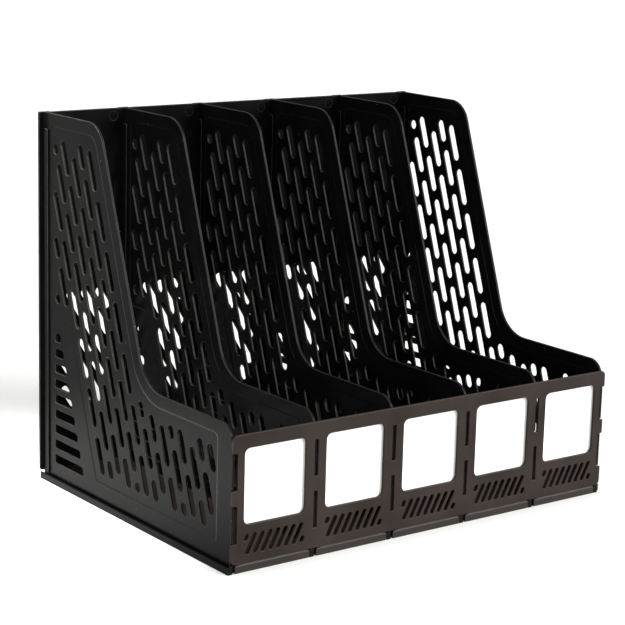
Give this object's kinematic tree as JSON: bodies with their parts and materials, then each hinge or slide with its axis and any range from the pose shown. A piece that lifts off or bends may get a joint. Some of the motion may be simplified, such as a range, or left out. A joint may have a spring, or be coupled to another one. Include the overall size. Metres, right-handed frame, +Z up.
{
  "type": "desktop file sorter",
  "caption": "Desktop file sorter of black moulded plastic: upright slotted panels with sloping fronts, floor trays, back panels and a front panel with label windows.",
  "frame": {"origin": "middle of the footprint, on the table under the feet", "axes": "+X to the right across the bays, +Z up, the label windows face -Y"},
  "size_m": [0.324, 0.238, 0.262],
  "materials": {
    "body": "satin moulded",
    "front": "satin moulded, catching warm light",
    "card": "plain white card"
  },
  "bodies": {
    "rack": {"panel_1": "body", "panel_2": "body", "panel_3": "body", "panel_4": "body", "panel_5": "body", "panel_6": "body", "back_1": "body", "back_2": "body", "back_3": "body", "back_4": "body", "back_5": "body", "tray_1": "body", "tray_2": "body", "tray_3": "body", "tray_4": "body", "tray_5": "body", "front": "front"},
    "label_1": {"card_1": "card"},
    "label_2": {"card_2": "card"},
    "label_3": {"card_3": "card"},
    "label_4": {"card_4": "card"},
    "label_5": {"card_5": "card"}
  },
  "joints": [
    {"name": "label_slide_1", "type": "slide", "parent": "rack", "child": "label_1", "axis": [0, 0, 1], "range_m": [0, 0.04]},
    {"name": "label_slide_2", "type": "slide", "parent": "rack", "child": "label_2", "axis": [0, 0, 1], "range_m": [0, 0.04]},
    {"name": "label_slide_3", "type": "slide", "parent": "rack", "child": "label_3", "axis": [0, 0, 1], "range_m": [0, 0.04]},
    {"name": "label_slide_4", "type": "slide", "parent": "rack", "child": "label_4", "axis": [0, 0, 1], "range_m": [0, 0.04]},
    {"name": "label_slide_5", "type": "slide", "parent": "rack", "child": "label_5", "axis": [0, 0, 1], "range_m": [0, 0.04]}
  ]
}
